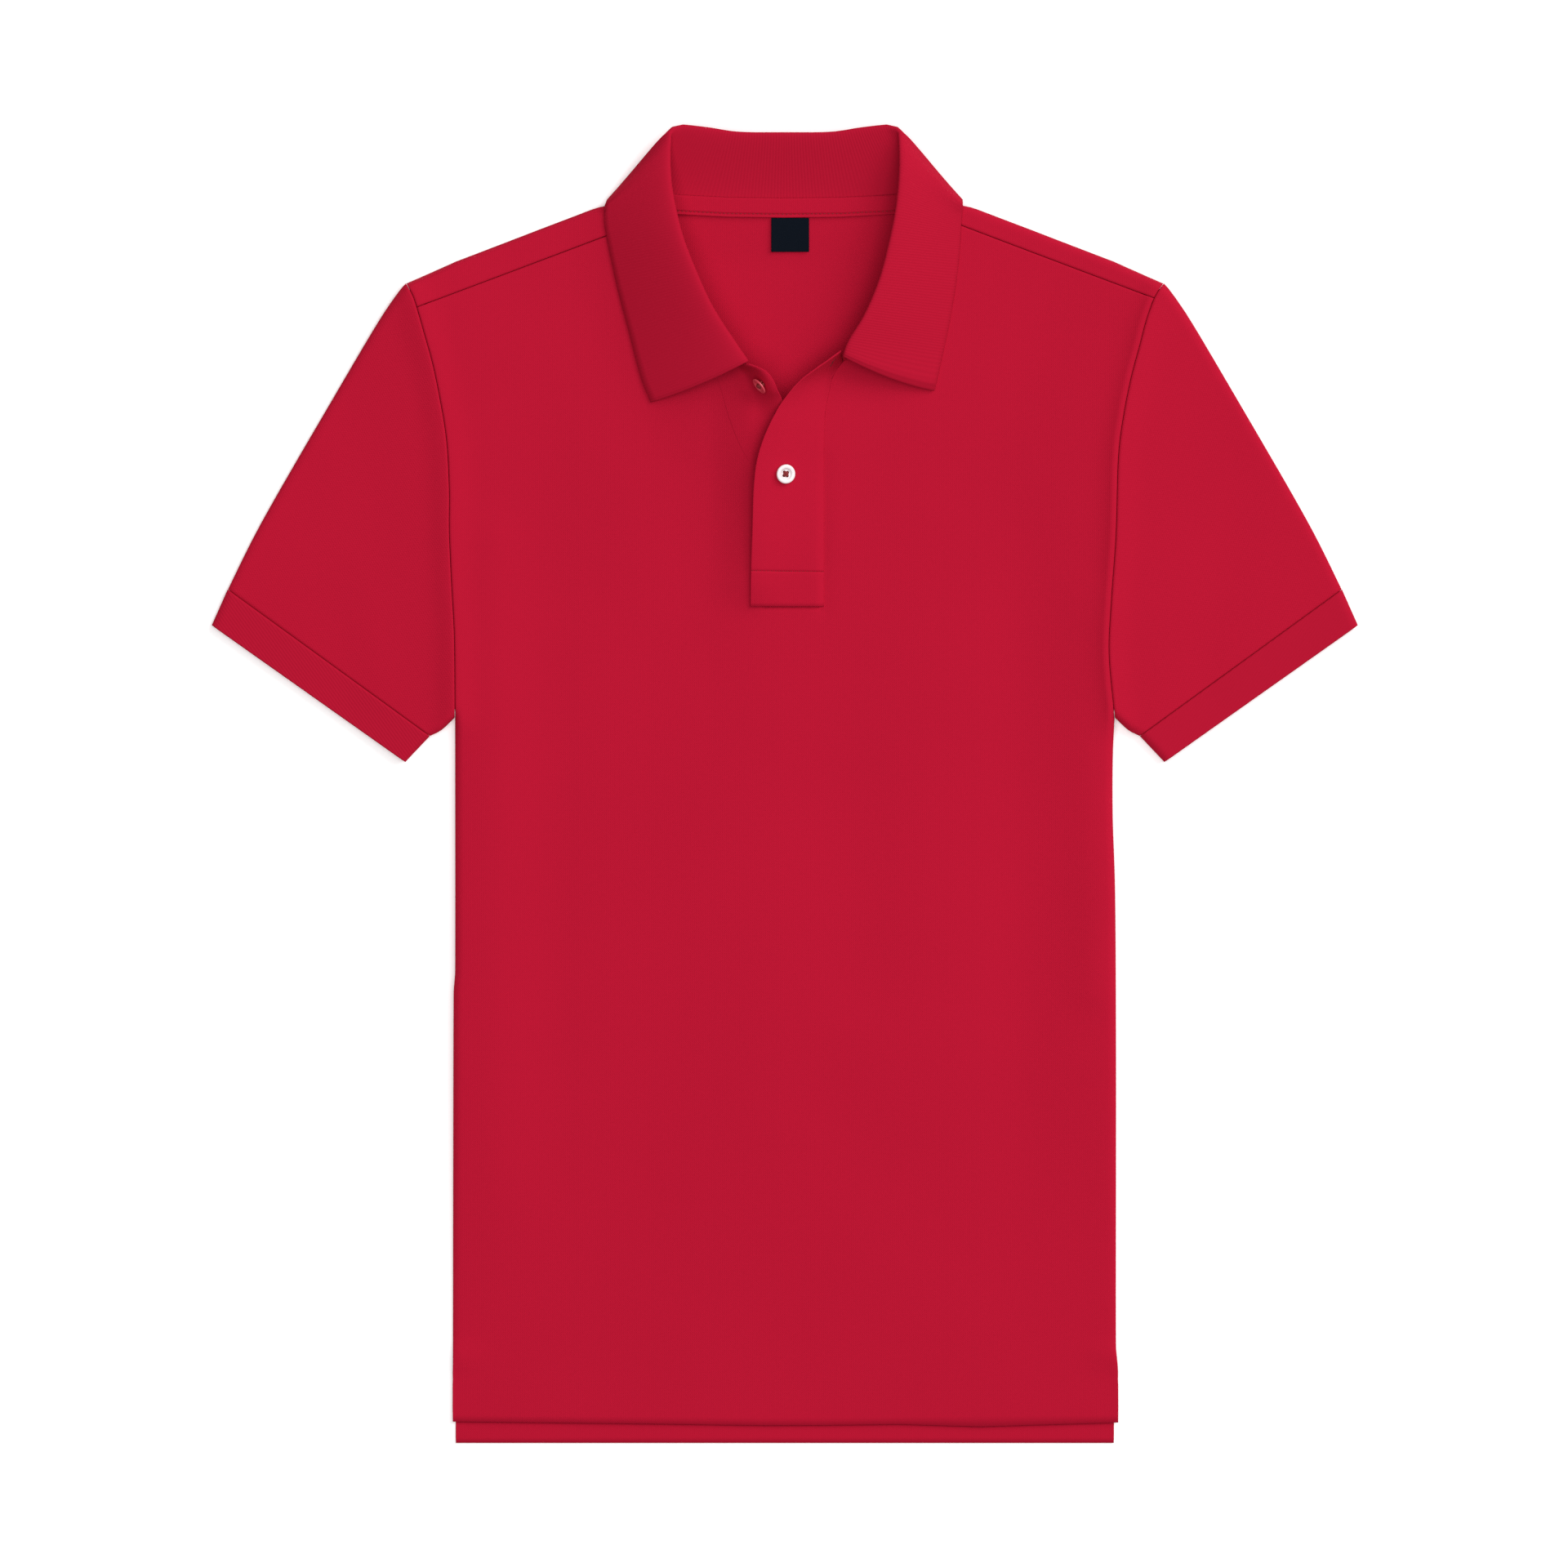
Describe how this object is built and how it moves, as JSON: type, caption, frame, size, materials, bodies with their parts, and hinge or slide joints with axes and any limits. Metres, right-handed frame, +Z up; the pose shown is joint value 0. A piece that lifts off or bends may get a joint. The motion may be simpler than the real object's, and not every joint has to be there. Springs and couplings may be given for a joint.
{
  "type": "short-sleeved polo shirt",
  "caption": "Red short-sleeved polo shirt laid flat, front upwards, with a knitted collar rolled outwards, a buttoned placket left open at the neck and knitted cuffs.",
  "frame": {"origin": "middle of the shirt's bounding box in plan, on the surface that the shirt lies on", "axes": "+X to the viewer's right across the chest, +Y from the hem towards the collar, +Z up out of the surface, away from the back panel"},
  "size_m": [0.6664, 0.766, 0.0235],
  "materials": {
    "red_pique": "matt cotton knit",
    "red_rib": "matt ribbed cotton knit",
    "pearl_button": "pearly",
    "black_label": "bare woven"
  },
  "bodies": {
    "root": {"front": "red_pique", "back": "red_pique", "sleeve_left": "red_pique", "sleeve_right": "red_pique", "cuff_left": "red_rib", "cuff_right": "red_rib", "collar": "red_rib", "placket_top": "red_pique", "placket_under": "red_pique", "neck_tape": "red_pique", "neck_label": "black_label", "button_top": "pearl_button", "button_second": "pearl_button"}
  },
  "joints": []
}
